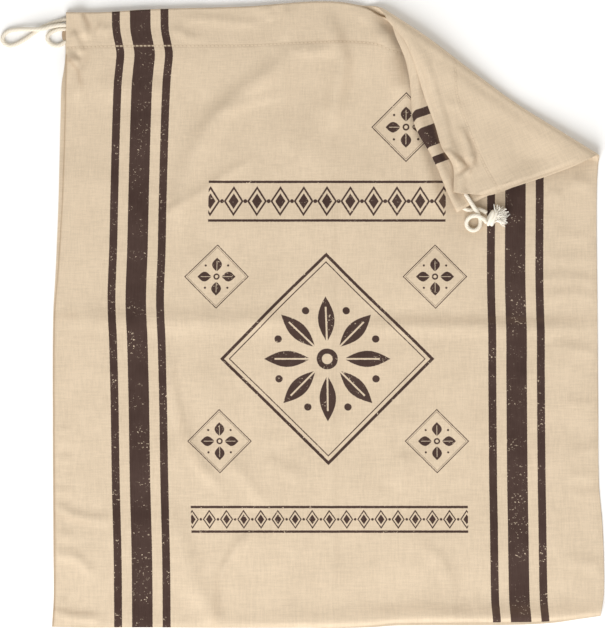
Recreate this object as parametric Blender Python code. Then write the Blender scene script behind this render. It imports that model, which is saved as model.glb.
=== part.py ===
# A cotton drawstring bag lying flat on its back panel, its top right corner folded over to the front.
# Metres, +Z up. X runs across the bag, Y from the bottom to the mouth, and the origin is the middle
# of the bag on the surface that it lies on.

from math import asin, atan2, cos, exp, pi, radians, sin

import bmesh
import bpy
from mathutils import Matrix, Vector

# Driving dimensions
BAG_WIDTH = 0.403
BAG_HEIGHT = 0.457
CLOTH = 0.0011  # thickness of one layer
GAP = 0.0003  # between pieces that touch
CASING_DEPTH = 0.027  # the mouth hem, turned inwards
CASING_RISE = 0.012  # length over which the cloth drops beside the casing
CORD_DIAMETER = 0.0028
CROWN = 0.0010  # how far the front panel stands off the back panel
CROWN_REACH = 0.045

# The folded corner: the line that the bag bends along and how far the corner's layers stand apart
FOLD_START = Vector((0.0351, 0.2199))
FOLD_ANGLE = radians(-34.35)
FOLD_RELAX = 0.030  # the bend flattens out over this length
HEM_SETTLE = 0.008  # past the bend, the hems come to lie between the layers over this length
FLAP_GAP = 0.0004
FLAP_AIR = 0.0012  # air under the middle of the flap
FLAP_REACH = 0.060
FLAP_LOOSE = 0.0007  # the two panels lie this much further apart in the flap

# Levels of each layer's middle surface where the bag lies flat
LAYER = CLOTH + GAP
BACK_LEVEL = CLOTH / 2
FRONT_LEVEL = BACK_LEVEL + LAYER
CASING_LIFT = 2 * LAYER  # both hems lie between the panels

# Bend radius of the back panel at each distance along the fold
FOLD_RADII = (
    (0.000, 0.0054),
    (0.040, 0.0063),
    (0.080, 0.0045),
    (0.120, 0.0032),
    (0.160, 0.0047),
    (0.190, 0.0060),
)

# Side seams: (height above the middle, distance across)
BACK_LEFT = (
    (-0.2285, -0.2014),
    (-0.205, -0.2001),
    (-0.170, -0.2004),
    (-0.080, -0.2008),
    (0.000, -0.2006),
    (0.035, -0.1988),
    (0.090, -0.1966),
    (0.150, -0.1952),
    (0.175, -0.1944),
    (0.190, -0.1922),
    (0.2285, -0.1912),
)
FRONT_LEFT = (
    (-0.2285, -0.2010),
    (-0.205, -0.1997),
    (-0.080, -0.2003),
    (0.000, -0.1999),
    (0.035, -0.1972),
    (0.090, -0.1940),
    (0.175, -0.1914),
    (0.190, -0.1911),
    (0.2285, -0.1909),
)
BACK_RIGHT = (
    (-0.2285, 0.1990),
    (-0.214, 0.2012),
    (-0.192, 0.2014),
    (-0.160, 0.2003),
    (-0.128, 0.1977),
    (-0.070, 0.1971),
    (0.000, 0.1966),
    (0.080, 0.1960),
    (0.112, 0.1972),
    (0.130, 0.2008),
    (0.155, 0.2002),
    (0.180, 0.1978),
    (0.205, 0.1960),
    (0.216, 0.1900),
    (0.2285, 0.1830),
)
FRONT_RIGHT = (
    (-0.2285, 0.1986),
    (-0.214, 0.2008),
    (-0.192, 0.2010),
    (-0.160, 0.1999),
    (-0.128, 0.1973),
    (0.000, 0.1962),
    (0.080, 0.1956),
    (0.112, 0.1966),
    (0.130, 0.1986),
    (0.155, 0.1976),
    (0.180, 0.1952),
    (0.205, 0.1926),
    (0.216, 0.1940),
    (0.2285, 0.1952),
)
# Bottom and mouth: (distance across, height above the middle)
BACK_BOTTOM = (
    (-0.2014, -0.2276),
    (-0.170, -0.2281),
    (-0.040, -0.2274),
    (0.000, -0.2285),
    (0.032, -0.2278),
    (0.050, -0.2266),
    (0.130, -0.2262),
    (0.162, -0.2248),
    (0.185, -0.2216),
    (0.2014, -0.2192),
)
FRONT_BOTTOM = (
    (-0.2010, -0.2272),
    (-0.170, -0.2277),
    (0.000, -0.2280),
    (0.032, -0.2266),
    (0.050, -0.2248),
    (0.130, -0.2240),
    (0.162, -0.2234),
    (0.185, -0.2211),
    (0.2010, -0.2188),
)
BACK_MOUTH = (
    (-0.1912, 0.2206),
    (-0.165, 0.2206),
    (-0.130, 0.2228),
    (-0.060, 0.2248),
    (-0.030, 0.2272),
    (-0.010, 0.2285),
    (0.010, 0.2280),
    (0.026, 0.2254),
    (0.050, 0.2256),
    (0.070, 0.2210),
    (0.107, 0.2202),
    (0.131, 0.2193),
    (0.150, 0.2202),
    (0.165, 0.2168),
    (0.183, 0.2230),
)
FRONT_MOUTH = (
    (-0.1909, 0.2202),
    (-0.165, 0.2202),
    (-0.130, 0.2224),
    (-0.060, 0.2243),
    (-0.030, 0.2266),
    (-0.010, 0.2279),
    (0.010, 0.2272),
    (0.026, 0.2238),
    (0.042, 0.2168),
    (0.060, 0.2180),
    (0.080, 0.2184),
    (0.098, 0.2212),
    (0.121, 0.2268),
    (0.150, 0.2248),
    (0.1952, 0.2228),
)

# Folds in the front panel: route across the cloth, half width, height
FRONT_FOLDS = (
    (((0.000, 0.214), (-0.001, -0.225)), 0.008, 0.0006),
    (((-0.198, -0.002), (-0.060, -0.003)), 0.008, 0.0007),
    (((0.030, -0.003), (0.195, -0.002)), 0.009, 0.0009),
    (((-0.031, 0.197), (-0.090, 0.158), (-0.116, 0.100)), 0.012, 0.0013),
    (((-0.115, 0.080), (-0.050, 0.113)), 0.009, 0.0010),
    (((-0.002, 0.218), (0.016, 0.186), (0.009, 0.120)), 0.010, 0.0012),
    (((-0.112, -0.033), (-0.101, -0.084), (-0.064, -0.135)), 0.009, 0.0011),
    (((-0.079, -0.226), (-0.075, -0.186), (-0.064, -0.168)), 0.008, 0.0009),
    (((0.091, -0.223), (0.089, -0.193), (0.078, -0.172)), 0.008, 0.0008),
    (((-0.198, -0.138), (-0.160, -0.143)), 0.007, 0.0008),
    (((-0.198, -0.212), (-0.160, -0.219)), 0.007, 0.0008),
    (((0.162, 0.040), (0.196, 0.034)), 0.008, 0.0007),
    (((-0.180, 0.222), (-0.172, 0.196)), 0.006, 0.0016),
    (((-0.110, 0.213), (-0.045, 0.203)), 0.008, 0.0009),
)
# Folds in the back panel where it is the top layer of the flap
FLAP_FOLDS = (
    (((0.086, 0.118), (0.101, 0.105)), 0.006, 0.0022),
    (((0.100, 0.129), (0.107, 0.110)), 0.006, 0.0016),
    (((0.112, 0.186), (0.110, 0.142)), 0.010, 0.0010),
    (((0.100, 0.092), (0.150, 0.101)), 0.007, 0.0008),
)

# Size of the mesh cells: (distance, cell) across and up each panel
FRONT_CELLS = ((-1.0, 0.0160), (0.045, 0.0115))
BACK_CELLS = ((-1.0, 0.0220), (0.045, 0.0110))
# The rows parallel to the fold that each panel is divided along, from the fold line
FRONT_BENDS = (0.000, 0.0011, 0.0022, 0.0036, 0.0052, 0.0070, 0.0092, 0.0120)
BACK_BENDS = (0.000, 0.0022, 0.0044, 0.0066, 0.0088, 0.0110, 0.0132, 0.0154, 0.0176, 0.0200)
HEM_TURN_STEPS = 3
CORNER_ROUNDING = 0.0035
BISECT_REACH = 0.0004  # a point this near to such a row counts as on it
FLAT_WITHIN = 0.0001  # what comes this near to the surface lies on it

# Cord routes. The left end's slack: out of the back casing, under itself and back to the front casing
LOOP_ROUTE = (
    (-0.1924, 0.2154, 0.0017),
    (-0.1965, 0.2142, 0.0016),
    (-0.2022, 0.2125, 0.0015),
    (-0.2076, 0.2104, 0.0015),
    (-0.2118, 0.2077, 0.0015),
    (-0.2171, 0.2040, 0.0015),
    (-0.2227, 0.2002, 0.0015),
    (-0.2283, 0.1973, 0.0015),
    (-0.2325, 0.1965, 0.0015),
    (-0.2361, 0.1982, 0.0015),
    (-0.2374, 0.2012, 0.0015),
    (-0.2363, 0.2046, 0.0015),
    (-0.2331, 0.2070, 0.0015),
    (-0.2283, 0.2081, 0.0017),
    (-0.2208, 0.2084, 0.0029),
    (-0.2134, 0.2082, 0.0044),
    (-0.2078, 0.2087, 0.0047),
    (-0.2022, 0.2101, 0.0046),
    (-0.1966, 0.2112, 0.0043),
    (-0.1930, 0.2114, 0.0041),
)
SMALL_LOOP_ROUTE = (
    (-0.1924, 0.2086, 0.0015),
    (-0.1955, 0.2086, 0.0015),
    (-0.1987, 0.2078, 0.0015),
    (-0.2022, 0.2060, 0.0015),
    (-0.2044, 0.2032, 0.0015),
    (-0.2042, 0.2001, 0.0015),
    (-0.2018, 0.1975, 0.0015),
    (-0.1988, 0.1965, 0.0015),
    (-0.1956, 0.1969, 0.0015),
    (-0.1928, 0.1987, 0.0015),
)
# The right end: out of the back casing, through its small loop and into the knot
BACK_END_ROUTE = (
    (0.1008, 0.0848, 0.0084),
    (0.1034, 0.0813, 0.0087),
    (0.1066, 0.0772, 0.0085),
    (0.1090, 0.0742, 0.0073),
    (0.1110, 0.0712, 0.0056),
    (0.1121, 0.0678, 0.0051),
    (0.1115, 0.0641, 0.0050),
    (0.1091, 0.0613, 0.0050),
    (0.1053, 0.0605, 0.0050),
    (0.1015, 0.0625, 0.0052),
    (0.0998, 0.0663, 0.0062),
    (0.1013, 0.0700, 0.0075),
    (0.1052, 0.0721, 0.0087),
    (0.1096, 0.0722, 0.0091),
    (0.1129, 0.0704, 0.0085),
    (0.1145, 0.0692, 0.0080),
)
# Out of the front casing, under the other end and into the knot
FRONT_END_ROUTE = (
    (0.0990, 0.0758, 0.0052),
    (0.1018, 0.0757, 0.0051),
    (0.1058, 0.0765, 0.0050),
    (0.1100, 0.0769, 0.0051),
    (0.1136, 0.0754, 0.0057),
    (0.1147, 0.0746, 0.0060),
)
KNOT_CENTRE = Vector((0.1196, 0.0706, 0.0073))
KNOT_HALF = Vector((0.0040, 0.0060, 0.0036))
KNOT_TURN = radians(-12)
KNOT_WRAPS = 3
TUFT_ROOT = Vector((0.1261, 0.0706, 0.0070))
TUFT_ROOT_HALF = Vector((0.0018, 0.0030, 0.0022))
TUFT_STRANDS = 26
TUFT_LENGTH = 0.0075
STRAND_WIDTH = 0.0006
TUFT_FAN = radians(68)

COTTON = (0.76, 0.60, 0.42)
CORD_COTTON = (0.82, 0.75, 0.62)


def clear_scene():
    for item in list(bpy.data.objects):
        bpy.data.objects.remove(item, do_unlink=True)


def cotton_material(name, colour):
    material = bpy.data.materials.new(name)
    material.use_nodes = True
    shader = material.node_tree.nodes["Principled BSDF"]
    shader.inputs["Base Color"].default_value = (*colour, 1)
    shader.inputs["Roughness"].default_value = 0.9
    shader.inputs["Metallic"].default_value = 0.0
    material.diffuse_color = (*colour, 1)
    return material


def mix(low, high, share):
    return low + (high - low) * share


def ease(share):
    # 0 to 1 with level ends
    share = min(max(share, 0.0), 1.0)
    return share * share * (3 - 2 * share)


def through(table, place):
    # The smooth curve through a table's rows of (place, value), level past its ends
    if place <= table[0][0]:
        return table[0][1]
    if place >= table[-1][0]:
        return table[-1][1]
    index = next(i for i in range(len(table) - 1) if place <= table[i + 1][0])
    (x0, y0), (x1, y1) = table[index], table[index + 1]
    span = x1 - x0

    def slope(i):
        if i == 0 or i == len(table) - 1:
            return (y1 - y0) / span
        return (table[i + 1][1] - table[i - 1][1]) / (table[i + 1][0] - table[i - 1][0])

    share = (place - x0) / span
    square, cube = share**2, share**3
    return (
        (2 * cube - 3 * square + 1) * y0
        + (cube - 2 * square + share) * span * slope(index)
        + (3 * square - 2 * cube) * y1
        + (cube - square) * span * slope(index + 1)
    )


def ridge(spot, route, half_width, height):
    # A soft fold along a route of straight lengths, fading out at both ends
    lengths = [(Vector(b) - Vector(a)).length for a, b in zip(route, route[1:])]
    nearest, place, passed = 1.0, 0.0, 0.0
    for (a, b), length in zip(zip(route, route[1:]), lengths):
        run = Vector(b) - Vector(a)
        share = min(max((spot - Vector(a)).dot(run) / length**2, 0.0), 1.0)
        distance = (spot - Vector(a) - run * share).length
        if distance < nearest:
            nearest, place = distance, (passed + share * length) / sum(lengths)
        passed += length
    fade = ease(4 * place) * ease(4 - 4 * place)
    return height * fade * exp(-((nearest / half_width) ** 2))


ALONG = Vector((cos(FOLD_ANGLE), sin(FOLD_ANGLE)))
ACROSS = Vector((-sin(FOLD_ANGLE), cos(FOLD_ANGLE)))


def fold_place(spot):
    # Distance along the fold line, and beyond it towards the corner
    offset = spot - FOLD_START
    return offset.dot(ALONG), offset.dot(ACROSS)


def casing_share(spot):
    # 1 over the casing, 0 well below it
    depth = through(FRONT_MOUTH, spot.x) - spot.y
    return 1 - ease((depth - CASING_DEPTH - CLOTH) / CASING_RISE)


def edge_distance(spot):
    sides = (
        spot.x - through(FRONT_LEFT, spot.y),
        through(FRONT_RIGHT, spot.y) - spot.x,
        spot.y - through(FRONT_BOTTOM, spot.x),
    )
    return min(sides)


def front_level(spot):
    # Middle surface of the front panel where the bag lies flat
    beyond = fold_place(spot)[1]
    open_cloth = ease((-beyond - FLAP_REACH) / FLAP_REACH)
    swell = CROWN * ease(edge_distance(spot) / CROWN_REACH) * open_cloth
    folds = sum(ridge(spot, *fold) for fold in FRONT_FOLDS) if beyond < 0 else 0.0
    folds *= ease(-beyond / CROWN_REACH) * ease(edge_distance(spot) / CASING_RISE + 0.3)
    return FRONT_LEVEL + CASING_LIFT * casing_share(spot) + swell + folds


def panel_spot(sides, across, up):
    # A point of a panel's outline: across and up run from 0 to 1
    left, right, bottom, mouth = sides
    height = mix(-BAG_HEIGHT / 2, BAG_HEIGHT / 2, up)
    x = mix(through(left, height), through(right, height), across)
    return Vector((x, mix(through(bottom, x), through(mouth, x), up)))


def fold_over(point, depth, line_level, on_top):
    # Carries a point of the flat bag round the fold. depth is how far it lies under the front panel
    # and line_level the height at which its layer meets the fold line
    spot = point.xy
    along, beyond = fold_place(spot)
    if beyond <= 0:
        return point
    axis = BACK_LEVEL + through(FOLD_RADII, along)
    bend = pi * (axis - line_level)
    if beyond < bend:
        angle = pi * beyond / bend
        reach = (axis - point.z) * sin(angle)
        height = axis - (axis - point.z) * cos(angle)
    else:
        reach = bend - beyond
        landing = FOLD_START + ALONG * along + ACROSS * reach
        air = FLAP_AIR * ease(-reach / FLAP_REACH)
        rest = front_level(landing) + CLOTH + FLAP_GAP + air + depth
        loose = FLAP_LOOSE if on_top else 0.0
        if on_top:
            rest += loose + sum(ridge(landing, *fold) for fold in FLAP_FOLDS)
        crossed = casing_share(FOLD_START + ALONG * along)
        lift = point.z + depth - FRONT_LEVEL - CASING_LIFT * crossed + loose
        full = 2 * axis - point.z + lift * ease(-reach / HEM_SETTLE)
        height = mix(full, rest, ease(-reach / FOLD_RELAX))
    place = FOLD_START + ALONG * along + ACROSS * reach
    return Vector((place.x, place.y, height))


def stops(low, high, cells):
    # Divides a length into steps whose size follows a table of (start, cell)
    found = [low]
    while found[-1] < high:
        cell = [size for start, size in cells if start <= found[-1]][-1]
        found.append(found[-1] + cell)
    stretch = (high - low) / (found[-1] - low)
    return [(low + (place - low) * stretch - low) / (high - low) for place in found]


def panel(name, sides, level, inward, cells, bends, material):
    # One cut sheet, hem and all. inward is +1 where the hem turns upwards and -1 where it turns down
    columns = stops(-BAG_WIDTH / 2, BAG_WIDTH / 2, cells)
    body = stops(-BAG_HEIGHT / 2, BAG_HEIGHT / 2 - CASING_DEPTH, cells)
    share = CASING_DEPTH / BAG_HEIGHT
    # Rows of (up, how far past the mouth, how far in under the outer layer)
    rows = [(up * (1 - share), 0.0, 0.0) for up in body] + [(1 - share / 2, 0.0, 0.0), (1.0, 0.0, 0.0)]
    for step in range(1, HEM_TURN_STEPS):
        angle = pi * step / HEM_TURN_STEPS
        rows.append((1.0, LAYER / 2 * sin(angle), LAYER / 2 * (1 - cos(angle))))
    rows += [(1.0, 0.0, LAYER), (1 - share / 2, 0.0, LAYER), (1 - share, 0.0, LAYER)]

    mesh = bmesh.new()
    under = mesh.verts.layers.float.new("under")
    grid = []
    for up, past, below in rows:
        line = []
        for across in columns:
            spot = panel_spot(sides, across, up)
            vertex = mesh.verts.new((spot.x, spot.y + past - LAYER / 2 * (up == 1.0), 0.0))
            vertex[under] = below
            line.append(vertex)
        grid.append(line)
    for lower, upper in zip(grid, grid[1:]):
        for i in range(len(columns) - 1):
            mesh.faces.new((lower[i], lower[i + 1], upper[i + 1], upper[i]))

    corners = [grid[0][0], grid[0][-1]]
    bmesh.ops.bevel(mesh, geom=corners, offset=CORNER_ROUNDING, segments=3, profile=0.5, affect="VERTICES")
    normal = Vector((ACROSS.x, ACROSS.y, 0))
    for beyond in bends:
        start = FOLD_START + ACROSS * beyond
        everything = mesh.verts[:] + mesh.edges[:] + mesh.faces[:]
        bmesh.ops.bisect_plane(
            mesh, geom=everything, dist=BISECT_REACH, plane_co=(start.x, start.y, 0), plane_no=normal
        )

    for vertex in mesh.verts:
        spot = vertex.co.xy
        below = vertex[under]
        along = fold_place(spot)[0]
        crossed = casing_share(FOLD_START + ALONG * along)
        if inward < 0:
            height = level(spot) - below
            line_level = FRONT_LEVEL + CASING_LIFT * crossed - below * crossed
        else:
            height = level(spot) + below
            line_level = BACK_LEVEL + below * crossed
        depth = front_level(spot) - height
        vertex.co = fold_over(Vector((spot.x, spot.y, height)), depth, line_level, inward > 0)

    bmesh.ops.triangulate(mesh, faces=mesh.faces[:], quad_method="BEAUTY")
    data = bpy.data.meshes.new(name)
    mesh.to_mesh(data)
    mesh.free()
    data.shade_smooth()
    data.materials.append(material)
    item = bpy.data.objects.new(name, data)
    bpy.context.collection.objects.link(item)
    thick = item.modifiers.new("Cloth", "SOLIDIFY")
    thick.thickness = CLOTH
    thick.offset = 0.0
    bpy.context.view_layer.objects.active = item
    bpy.ops.object.modifier_apply(modifier=thick.name)
    for vertex in item.data.vertices:
        if vertex.co.z < FLAT_WITHIN:
            vertex.co.z = 0.0
    return item


def cord(name, route, material):
    # A round tube through the route's points, along a smooth curve
    points = [Vector(point) for point in route]
    ends = [2 * points[0] - points[1]] + points + [2 * points[-1] - points[-2]]
    fine = []
    for before, start, end, after in zip(ends, ends[1:], ends[2:], ends[3:]):
        for step in range(2):
            share = step / 2
            square, cube = share**2, share**3
            fine.append(
                0.5
                * (
                    2 * start
                    + (end - before) * share
                    + (2 * before - 5 * start + 4 * end - after) * square
                    + (3 * start - before - 3 * end + after) * cube
                )
            )
    fine.append(points[-1])
    curve = bpy.data.curves.new(name, "CURVE")
    curve.dimensions = "3D"
    curve.bevel_depth = CORD_DIAMETER / 2
    curve.bevel_resolution = 2
    curve.use_fill_caps = True
    spline = curve.splines.new("POLY")
    spline.points.add(len(fine) - 1)
    for target, point in zip(spline.points, fine):
        target.co = (*point, 1)
    curve.materials.append(material)
    item = bpy.data.objects.new(name, curve)
    bpy.context.collection.objects.link(item)
    return item


def mesh_object(name, mesh, material):
    data = bpy.data.meshes.new(name)
    mesh.to_mesh(data)
    mesh.free()
    data.shade_smooth()
    data.materials.append(material)
    item = bpy.data.objects.new(name, data)
    bpy.context.collection.objects.link(item)
    return item


def knot(name, material):
    # A tight lump with the cord's turns standing proud round it
    mesh = bmesh.new()
    bmesh.ops.create_uvsphere(mesh, u_segments=24, v_segments=14, radius=1.0)
    for vertex in mesh.verts:
        turn = atan2(vertex.co.y, vertex.co.x)
        wrap = cos(KNOT_WRAPS * pi * vertex.co.y + 2 * vertex.co.x + vertex.co.z)
        vertex.co *= 1 + 0.10 * wrap * (1 - vertex.co.z**2) + 0.03 * cos(3 * turn)
    place = Matrix.Translation(KNOT_CENTRE) @ Matrix.Rotation(KNOT_TURN, 4, "Z")
    bmesh.ops.transform(mesh, matrix=place @ Matrix.Diagonal((*KNOT_HALF, 1)), verts=mesh.verts)
    return mesh_object(name, mesh, material)


def tuft(name, material):
    # Frayed cord ends: four-sided strands that fan out of a small head
    head = bmesh.new()
    bmesh.ops.create_icosphere(head, subdivisions=2, radius=1.0)
    place = Matrix.Translation(TUFT_ROOT) @ Matrix.Diagonal((*TUFT_ROOT_HALF, 1))
    bmesh.ops.transform(head, matrix=place, verts=head.verts)
    strands = bmesh.new()
    for number in range(TUFT_STRANDS):
        share = (number + 0.5) / TUFT_STRANDS
        side = mix(-TUFT_FAN, TUFT_FAN, (number * 0.618) % 1)
        rise = asin(mix(-0.42, 0.55, share))
        heading = Vector((cos(side) * cos(rise), sin(side) * cos(rise), sin(rise)))
        length = TUFT_LENGTH * (0.75 + 0.25 * cos(7 * share))
        turn = heading.to_track_quat("Z", "Y").to_matrix().to_4x4()
        middle = TUFT_ROOT + heading * (length / 2 + STRAND_WIDTH)
        bmesh.ops.create_cone(
            strands,
            cap_ends=True,
            segments=4,
            radius1=STRAND_WIDTH * 0.8,
            radius2=STRAND_WIDTH * 0.4,
            depth=length,
            matrix=Matrix.Translation(middle) @ turn,
        )
    fibres = mesh_object(name + "_strands", strands, material)
    fibres.hide_render = True
    fibres.display_type = "WIRE"
    item = mesh_object(name, head, material)
    fuse = item.modifiers.new("Strands", "BOOLEAN")
    fuse.operation = "UNION"
    fuse.object = fibres
    fuse.use_self = True
    return item


def build():
    clear_scene()
    cotton = cotton_material("cotton", COTTON)
    cord_cotton = cotton_material("cord_cotton", CORD_COTTON)
    back_sides = (BACK_LEFT, BACK_RIGHT, BACK_BOTTOM, BACK_MOUTH)
    front_sides = (FRONT_LEFT, FRONT_RIGHT, FRONT_BOTTOM, FRONT_MOUTH)
    panel("back_panel", back_sides, lambda spot: BACK_LEVEL, 1, BACK_CELLS, BACK_BENDS, cotton)
    panel("front_panel", front_sides, front_level, -1, FRONT_CELLS, FRONT_BENDS, cotton)
    cord("drawstring_loop", LOOP_ROUTE, cord_cotton)
    cord("drawstring_small_loop", SMALL_LOOP_ROUTE, cord_cotton)
    cord("drawstring_back_end", BACK_END_ROUTE, cord_cotton)
    cord("drawstring_front_end", FRONT_END_ROUTE, cord_cotton)
    knot("drawstring_knot", cord_cotton)
    tuft("drawstring_tuft", cord_cotton)


build()
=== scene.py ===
from math import cos, pi, radians, sin

import bmesh
import bpy
import numpy as np
from mathutils import Matrix, Vector


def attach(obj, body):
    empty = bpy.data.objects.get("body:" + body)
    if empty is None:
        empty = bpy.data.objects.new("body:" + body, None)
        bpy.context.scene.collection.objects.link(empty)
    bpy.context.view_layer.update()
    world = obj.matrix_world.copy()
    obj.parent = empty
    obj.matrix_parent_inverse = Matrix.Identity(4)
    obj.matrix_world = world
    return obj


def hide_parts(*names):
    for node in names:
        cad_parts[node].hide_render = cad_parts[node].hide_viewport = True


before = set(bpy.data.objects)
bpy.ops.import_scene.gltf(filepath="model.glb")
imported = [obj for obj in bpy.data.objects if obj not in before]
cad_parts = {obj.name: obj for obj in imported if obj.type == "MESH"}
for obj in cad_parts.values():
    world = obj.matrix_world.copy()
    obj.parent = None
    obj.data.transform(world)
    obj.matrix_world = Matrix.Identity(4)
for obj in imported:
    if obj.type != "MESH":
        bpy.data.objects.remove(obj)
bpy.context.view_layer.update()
bpy.ops.object.select_all(action="DESELECT")
scene = bpy.context.scene
print("frame loaded:", ", ".join(sorted(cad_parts)))

picture = {"pixel": 0.00073, "column": 328, "row": 315}  # metres a pixel, and the origin's place


def at(*numbers):  # places in the picture, column and row in turn, as metres
    pixel, column, row = picture["pixel"], picture["column"], picture["row"]
    places = zip(numbers[::2], numbers[1::2])
    return [((c - column) * pixel, (row - r) * pixel) for c, r in places]


def ridges(*rows):  # each row is a half width, a height and then the route's places
    return [(at(*places), halfWidth, height) for halfWidth, height, *places in rows]


def millimetres(*rows):  # as metres
    return [tuple(round(number / 1000, 7) for number in row) for row in rows]


def mix(low, high, share):
    return low + (high - low) * share


def ease(share):  # 0 to 1 with level ends
    share = np.clip(share, 0.0, 1.0)
    return share * share * (3 - 2 * share)


def through(table, place):  # smooth curve through rows of (place, value), level past its ends
    places, values = np.array(table, float).T
    rise, run = np.diff(values), np.diff(places)
    slopes = np.empty(len(places))
    slopes[1:-1] = (values[2:] - values[:-2]) / (places[2:] - places[:-2])
    slopes[0], slopes[-1] = rise[0] / run[0], rise[-1] / run[-1]
    index = np.clip(np.searchsorted(places, place) - 1, 0, len(run) - 1)
    share = np.clip((place - places[index]) / run[index], 0, 1)
    square, cube = share**2, share**3
    return (
        (2 * cube - 3 * square + 1) * values[index]
        + (cube - 2 * square + share) * run[index] * slopes[index]
        + (3 * square - 2 * cube) * values[index + 1]
        + (cube - square) * run[index] * slopes[index + 1]
    )


def newObject(name, mesh, *materials):
    item = bpy.data.objects.new(name, mesh)
    scene.collection.objects.link(item)
    for material in materials:
        mesh.materials.append(material)
    return item


studio = {
    "frameHeight": 0.4599,  # what the picture takes in, top to bottom
    "middle": (-0.01825, 0.0),
    "distance": 3.2,
    "sensor": 24.0,
    "floorSize": 6, "floorLevel": -0.0002, "floorRoughness": 0.8, "floorTone": 0.97,
    "skyStrength": 0.42,
    "skyColour": (1.0, 0.965, 0.90, 1),
    "lights": (  # name, energy, size and place
        ("keyLight", 86.0, 2.3, (-0.52, -1.83, 1.68)),
        ("fillLight", 12.0, 1.2, (1.10, 1.60, 0.60)),
    ),
}


def makeCamera(spec):
    data = bpy.data.cameras.new("camera")
    data.sensor_fit = "VERTICAL"
    data.sensor_height = spec["sensor"]
    data.lens = spec["sensor"] * spec["distance"] / spec["frameHeight"]
    camera = bpy.data.objects.new("camera", data)
    camera.location = (*spec["middle"], spec["distance"])
    scene.collection.objects.link(camera)
    scene.camera = camera


def makeLight(name, energy, size, place):
    data = bpy.data.lights.new(name, "AREA")
    data.energy = energy
    data.size = size
    light = bpy.data.objects.new(name, data)
    light.location = place
    light.rotation_euler = (-Vector(place)).to_track_quat("-Z", "Y").to_euler()
    scene.collection.objects.link(light)


def makeStudio(spec):
    makeCamera(spec)
    for light in spec["lights"]:
        makeLight(*light)
    world = bpy.data.worlds.new("studio")
    world.use_nodes = True
    background = world.node_tree.nodes["Background"]
    background.inputs["Strength"].default_value = spec["skyStrength"]
    background.inputs["Color"].default_value = spec["skyColour"]
    scene.world = world
    scene.view_settings.view_transform = "Standard"
    bpy.ops.mesh.primitive_plane_add(size=spec["floorSize"], location=(0, 0, spec["floorLevel"]))
    floor = bpy.context.active_object
    floor.name = "floor"
    material = bpy.data.materials.new("paleFloor")
    material.use_nodes = True
    tone = spec["floorTone"]
    shader = material.node_tree.nodes["Principled BSDF"]
    shader.inputs["Base Color"].default_value = (tone, tone, tone, 1)
    shader.inputs["Roughness"].default_value = spec["floorRoughness"]
    floor.data.materials.append(material)


makeStudio(studio)
print("camera, light and floor made")


softEdge = 0.00018  # how far the edge of a printed shape fades out, in metres


class Wire:  # a material's socket; sums on it add Math nodes
    def __init__(self, socket):
        self.socket = socket

    def node(self, kind, settings=None, values=None, output=0):
        tree = self.socket.id_data
        made = tree.nodes.new("ShaderNode" + kind)
        for name, value in (settings or {}).items():
            setattr(made, name, value)
        for name, value in (values or {}).items():
            if isinstance(value, Wire):
                tree.links.new(value.socket, made.inputs[name])
            else:
                made.inputs[name].default_value = value
        return Wire(made.outputs[output])

    def pick(self, name):
        return Wire(self.socket.node.outputs[name])

    def sum(self, operation, first, second=0.0, third=0.0):
        return self.node("Math", {"operation": operation}, {0: first, 1: second, 2: third})

    def __add__(self, other):
        return self.sum("ADD", self, other)

    __radd__ = __add__

    def __sub__(self, other):
        return self.sum("SUBTRACT", self, other)

    def __rsub__(self, other):
        return self.sum("SUBTRACT", other, self)

    def __mul__(self, other):
        return self.sum("MULTIPLY", self, other)

    __rmul__ = __mul__

    def __truediv__(self, other):
        return self.sum("DIVIDE", self, other)

    def __abs__(self):
        return self.sum("ABSOLUTE", self)

    def __or__(self, other):  # the greater of two masks
        return self.sum("MAXIMUM", self, other)

    def under(self, limit, soft=softEdge):  # 1 below the limit, with a soft edge
        values = {"Value": self - limit, "From Min": soft, "From Max": -soft}
        return self.node("MapRange", {"interpolation_type": "SMOOTHSTEP"}, values)

    def noise(self, scale, detail=2.0, roughness=0.5):  # one scale, or one for each axis
        values = {"Scale": 1.0, "Detail": detail, "Roughness": roughness}
        scales = scale if isinstance(scale, tuple) else (scale, scale, scale)
        values["Vector"] = self.node("VectorMath", {"operation": "MULTIPLY"}, {0: self, 1: scales})
        return self.node("TexNoise", None, values)

    def blend(self, low, high):  # a colour, mixed by this mask
        # The RGBA mix has its factor and colours in sockets 0, 6 and 7, and its result in 2
        settings = {"data_type": "RGBA", "clamp_factor": True}
        return self.node("Mix", settings, {0: self, 6: low, 7: high}, 2)


clothGloss = 0.1  # specular level of dry cotton


def startMaterial(name, attribute):
    material = bpy.data.materials.new(name)
    material.use_nodes = True
    tree = material.node_tree
    source = tree.nodes.new("ShaderNodeAttribute")
    source.attribute_name = attribute
    return material, tree.nodes["Principled BSDF"], Wire(source.outputs["Vector"])


def finishMaterial(shader, colour, roughness, height, depth):
    tree = shader.id_data
    tree.links.new(colour.socket, shader.inputs["Base Color"])
    tree.links.new(roughness.socket, shader.inputs["Roughness"])
    bump = height.node("Bump", None, {"Height": height, "Distance": depth, "Strength": 1.0})
    tree.links.new(bump.socket, shader.inputs["Normal"])
    shader.inputs["Specular IOR Level"].default_value = clothGloss


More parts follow.
